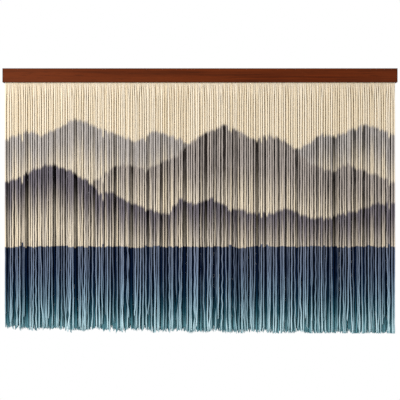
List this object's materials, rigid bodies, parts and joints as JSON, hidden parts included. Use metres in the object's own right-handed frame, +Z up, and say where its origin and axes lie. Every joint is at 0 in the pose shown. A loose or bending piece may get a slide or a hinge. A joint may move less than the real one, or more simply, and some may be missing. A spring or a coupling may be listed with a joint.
{
  "type": "fringe tapestry wall hanging",
  "caption": "Wide wall hanging: a walnut rail holding a long curtain of dip-dyed hanging cords with a layered mountain and sea pattern.",
  "frame": {"origin": "middle of the centre wall pad's back face, level with the rail's mid-height and halfway along the rail", "axes": "+X along the rail towards the right end as seen from the front, +Y into the wall, +Z up; the cords hang along -Z and the front looks along -Y"},
  "size_m": [1.08, 0.047, 0.7187],
  "materials": {
    "walnut": "oiled walnut, satin",
    "birch": "bare birch dowel",
    "dyed_cord": "soft twisted cotton cord, cream dip-dyed grey, navy and pale teal",
    "cream_cord": "soft twisted cotton cord, undyed cream",
    "zinc_steel": "zinc-plated steel",
    "felt": "pressed grey felt"
  },
  "bodies": {
    "rail": {"front_rail": "walnut", "spacer_strip": "walnut", "back_rail": "walnut", "end_cheek_left": "walnut", "end_cheek_right": "walnut", "rod_saddle": "walnut", "header_rod": "birch", "loop_row_left": "cream_cord", "loop_row_right": "cream_cord", "rail_screw_1": "zinc_steel", "rail_screw_2": "zinc_steel", "rail_screw_3": "zinc_steel", "rail_screw_4": "zinc_steel", "rail_screw_5": "zinc_steel", "rail_screw_6": "zinc_steel", "hanger_strap_left": "zinc_steel", "hanger_strap_right": "zinc_steel", "hanger_screw_left": "zinc_steel", "hanger_screw_right": "zinc_steel", "wall_pad_left": "felt", "wall_pad_centre": "felt", "wall_pad_right": "felt"},
    "cord_bundle_01": {"cord_bundle_01": "dyed_cord"},
    "cord_bundle_02": {"cord_bundle_02": "dyed_cord"},
    "cord_bundle_03": {"cord_bundle_03": "dyed_cord"},
    "cord_bundle_04": {"cord_bundle_04": "dyed_cord"},
    "cord_bundle_05": {"cord_bundle_05": "dyed_cord"},
    "cord_bundle_06": {"cord_bundle_06": "dyed_cord"},
    "cord_bundle_07": {"cord_bundle_07": "dyed_cord"},
    "cord_bundle_08": {"cord_bundle_08": "dyed_cord"},
    "cord_bundle_09": {"cord_bundle_09": "dyed_cord"},
    "cord_bundle_10": {"cord_bundle_10": "dyed_cord"},
    "cord_bundle_11": {"cord_bundle_11": "dyed_cord"},
    "cord_bundle_12": {"cord_bundle_12": "dyed_cord"},
    "cord_bundle_13": {"cord_bundle_13": "dyed_cord"},
    "cord_bundle_14": {"cord_bundle_14": "dyed_cord"},
    "cord_bundle_15": {"cord_bundle_15": "dyed_cord"},
    "cord_bundle_16": {"cord_bundle_16": "dyed_cord"},
    "cord_bundle_17": {"cord_bundle_17": "dyed_cord"},
    "cord_bundle_18": {"cord_bundle_18": "dyed_cord"},
    "cord_bundle_19": {"cord_bundle_19": "dyed_cord"},
    "cord_bundle_20": {"cord_bundle_20": "dyed_cord"},
    "cord_bundle_21": {"cord_bundle_21": "dyed_cord"},
    "cord_bundle_22": {"cord_bundle_22": "dyed_cord"},
    "cord_bundle_23": {"cord_bundle_23": "dyed_cord"},
    "cord_bundle_24": {"cord_bundle_24": "dyed_cord"},
    "cord_bundle_25": {"cord_bundle_25": "dyed_cord"},
    "cord_bundle_26": {"cord_bundle_26": "dyed_cord"},
    "cord_bundle_27": {"cord_bundle_27": "dyed_cord"},
    "cord_bundle_28": {"cord_bundle_28": "dyed_cord"},
    "hanger_ring_left": {"hanger_ring_left": "zinc_steel"},
    "hanger_ring_right": {"hanger_ring_right": "zinc_steel"}
  },
  "joints": [
    {"name": "cord_bundle_01_swing", "type": "hinge", "parent": "rail", "child": "cord_bundle_01", "pos_m": [0, -0.021, -0.023], "axis": [-1, 0, 0], "range_deg": [-1, 60]},
    {"name": "cord_bundle_02_swing", "type": "hinge", "parent": "rail", "child": "cord_bundle_02", "pos_m": [0, -0.021, -0.023], "axis": [-1, 0, 0], "range_deg": [-1, 60]},
    {"name": "cord_bundle_03_swing", "type": "hinge", "parent": "rail", "child": "cord_bundle_03", "pos_m": [0, -0.021, -0.023], "axis": [-1, 0, 0], "range_deg": [-1, 60]},
    {"name": "cord_bundle_04_swing", "type": "hinge", "parent": "rail", "child": "cord_bundle_04", "pos_m": [0, -0.021, -0.023], "axis": [-1, 0, 0], "range_deg": [-1, 60]},
    {"name": "cord_bundle_05_swing", "type": "hinge", "parent": "rail", "child": "cord_bundle_05", "pos_m": [0, -0.021, -0.023], "axis": [-1, 0, 0], "range_deg": [-1, 60]},
    {"name": "cord_bundle_06_swing", "type": "hinge", "parent": "rail", "child": "cord_bundle_06", "pos_m": [0, -0.021, -0.023], "axis": [-1, 0, 0], "range_deg": [-1, 60]},
    {"name": "cord_bundle_07_swing", "type": "hinge", "parent": "rail", "child": "cord_bundle_07", "pos_m": [0, -0.021, -0.023], "axis": [-1, 0, 0], "range_deg": [-1, 60]},
    {"name": "cord_bundle_08_swing", "type": "hinge", "parent": "rail", "child": "cord_bundle_08", "pos_m": [0, -0.021, -0.023], "axis": [-1, 0, 0], "range_deg": [-1, 60]},
    {"name": "cord_bundle_09_swing", "type": "hinge", "parent": "rail", "child": "cord_bundle_09", "pos_m": [0, -0.021, -0.023], "axis": [-1, 0, 0], "range_deg": [-1, 60]},
    {"name": "cord_bundle_10_swing", "type": "hinge", "parent": "rail", "child": "cord_bundle_10", "pos_m": [0, -0.021, -0.023], "axis": [-1, 0, 0], "range_deg": [-1, 60]},
    {"name": "cord_bundle_11_swing", "type": "hinge", "parent": "rail", "child": "cord_bundle_11", "pos_m": [0, -0.021, -0.023], "axis": [-1, 0, 0], "range_deg": [-1, 60]},
    {"name": "cord_bundle_12_swing", "type": "hinge", "parent": "rail", "child": "cord_bundle_12", "pos_m": [0, -0.021, -0.023], "axis": [-1, 0, 0], "range_deg": [-1, 60]},
    {"name": "cord_bundle_13_swing", "type": "hinge", "parent": "rail", "child": "cord_bundle_13", "pos_m": [0, -0.021, -0.023], "axis": [-1, 0, 0], "range_deg": [-1, 60]},
    {"name": "cord_bundle_14_swing", "type": "hinge", "parent": "rail", "child": "cord_bundle_14", "pos_m": [0, -0.021, -0.023], "axis": [-1, 0, 0], "range_deg": [-1, 60]},
    {"name": "cord_bundle_15_swing", "type": "hinge", "parent": "rail", "child": "cord_bundle_15", "pos_m": [0, -0.021, -0.023], "axis": [-1, 0, 0], "range_deg": [-1, 60]},
    {"name": "cord_bundle_16_swing", "type": "hinge", "parent": "rail", "child": "cord_bundle_16", "pos_m": [0, -0.021, -0.023], "axis": [-1, 0, 0], "range_deg": [-1, 60]},
    {"name": "cord_bundle_17_swing", "type": "hinge", "parent": "rail", "child": "cord_bundle_17", "pos_m": [0, -0.021, -0.023], "axis": [-1, 0, 0], "range_deg": [-1, 60]},
    {"name": "cord_bundle_18_swing", "type": "hinge", "parent": "rail", "child": "cord_bundle_18", "pos_m": [0, -0.021, -0.023], "axis": [-1, 0, 0], "range_deg": [-1, 60]},
    {"name": "cord_bundle_19_swing", "type": "hinge", "parent": "rail", "child": "cord_bundle_19", "pos_m": [0, -0.021, -0.023], "axis": [-1, 0, 0], "range_deg": [-1, 60]},
    {"name": "cord_bundle_20_swing", "type": "hinge", "parent": "rail", "child": "cord_bundle_20", "pos_m": [0, -0.021, -0.023], "axis": [-1, 0, 0], "range_deg": [-1, 60]},
    {"name": "cord_bundle_21_swing", "type": "hinge", "parent": "rail", "child": "cord_bundle_21", "pos_m": [0, -0.021, -0.023], "axis": [-1, 0, 0], "range_deg": [-1, 60]},
    {"name": "cord_bundle_22_swing", "type": "hinge", "parent": "rail", "child": "cord_bundle_22", "pos_m": [0, -0.021, -0.023], "axis": [-1, 0, 0], "range_deg": [-1, 60]},
    {"name": "cord_bundle_23_swing", "type": "hinge", "parent": "rail", "child": "cord_bundle_23", "pos_m": [0, -0.021, -0.023], "axis": [-1, 0, 0], "range_deg": [-1, 60]},
    {"name": "cord_bundle_24_swing", "type": "hinge", "parent": "rail", "child": "cord_bundle_24", "pos_m": [0, -0.021, -0.023], "axis": [-1, 0, 0], "range_deg": [-1, 60]},
    {"name": "cord_bundle_25_swing", "type": "hinge", "parent": "rail", "child": "cord_bundle_25", "pos_m": [0, -0.021, -0.023], "axis": [-1, 0, 0], "range_deg": [-1, 60]},
    {"name": "cord_bundle_26_swing", "type": "hinge", "parent": "rail", "child": "cord_bundle_26", "pos_m": [0, -0.021, -0.023], "axis": [-1, 0, 0], "range_deg": [-1, 60]},
    {"name": "cord_bundle_27_swing", "type": "hinge", "parent": "rail", "child": "cord_bundle_27", "pos_m": [0, -0.021, -0.023], "axis": [-1, 0, 0], "range_deg": [-1, 60]},
    {"name": "cord_bundle_28_swing", "type": "hinge", "parent": "rail", "child": "cord_bundle_28", "pos_m": [0, -0.021, -0.023], "axis": [-1, 0, 0], "range_deg": [-1, 60]},
    {"name": "hanger_ring_left_turn", "type": "hinge", "parent": "rail", "child": "hanger_ring_left", "pos_m": [-0.36, -0.00285, 0.002], "axis": [-1, 0, 0], "range_deg": [0, 150]},
    {"name": "hanger_ring_right_turn", "type": "hinge", "parent": "rail", "child": "hanger_ring_right", "pos_m": [0.36, -0.00285, 0.002], "axis": [-1, 0, 0], "range_deg": [0, 150]}
  ]
}
